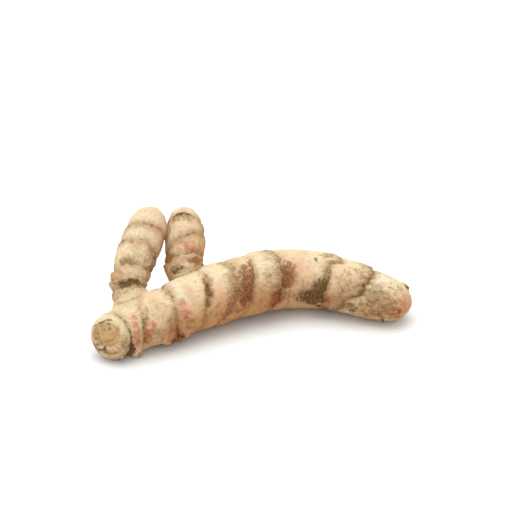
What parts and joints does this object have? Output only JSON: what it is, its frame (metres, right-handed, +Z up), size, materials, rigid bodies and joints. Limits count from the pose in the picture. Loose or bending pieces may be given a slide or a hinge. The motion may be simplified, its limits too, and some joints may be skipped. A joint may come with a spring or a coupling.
{
  "type": "turmeric root",
  "caption": "Fresh turmeric rhizome: a curved ringed finger with a broken old end, a blunt young tip and upturned side fingers, lying on a surface.",
  "frame": {"origin": "centre of the bounding box's footprint, on the surface the root lies on", "axes": "+Z up; +X along the long finger's reach, from its broken old end to its young tip; -Y towards the front, where the rings show; the side fingers rise towards +Y"},
  "size_m": [0.1223, 0.0591, 0.0418],
  "materials": {
    "skin": "matte thin papery skin, cream to pinkish tan, with grey-brown and red-brown leaf-scar bands and orange-pink scrapes"
  },
  "bodies": {
    "root": {"rhizome": "skin"}
  },
  "joints": []
}
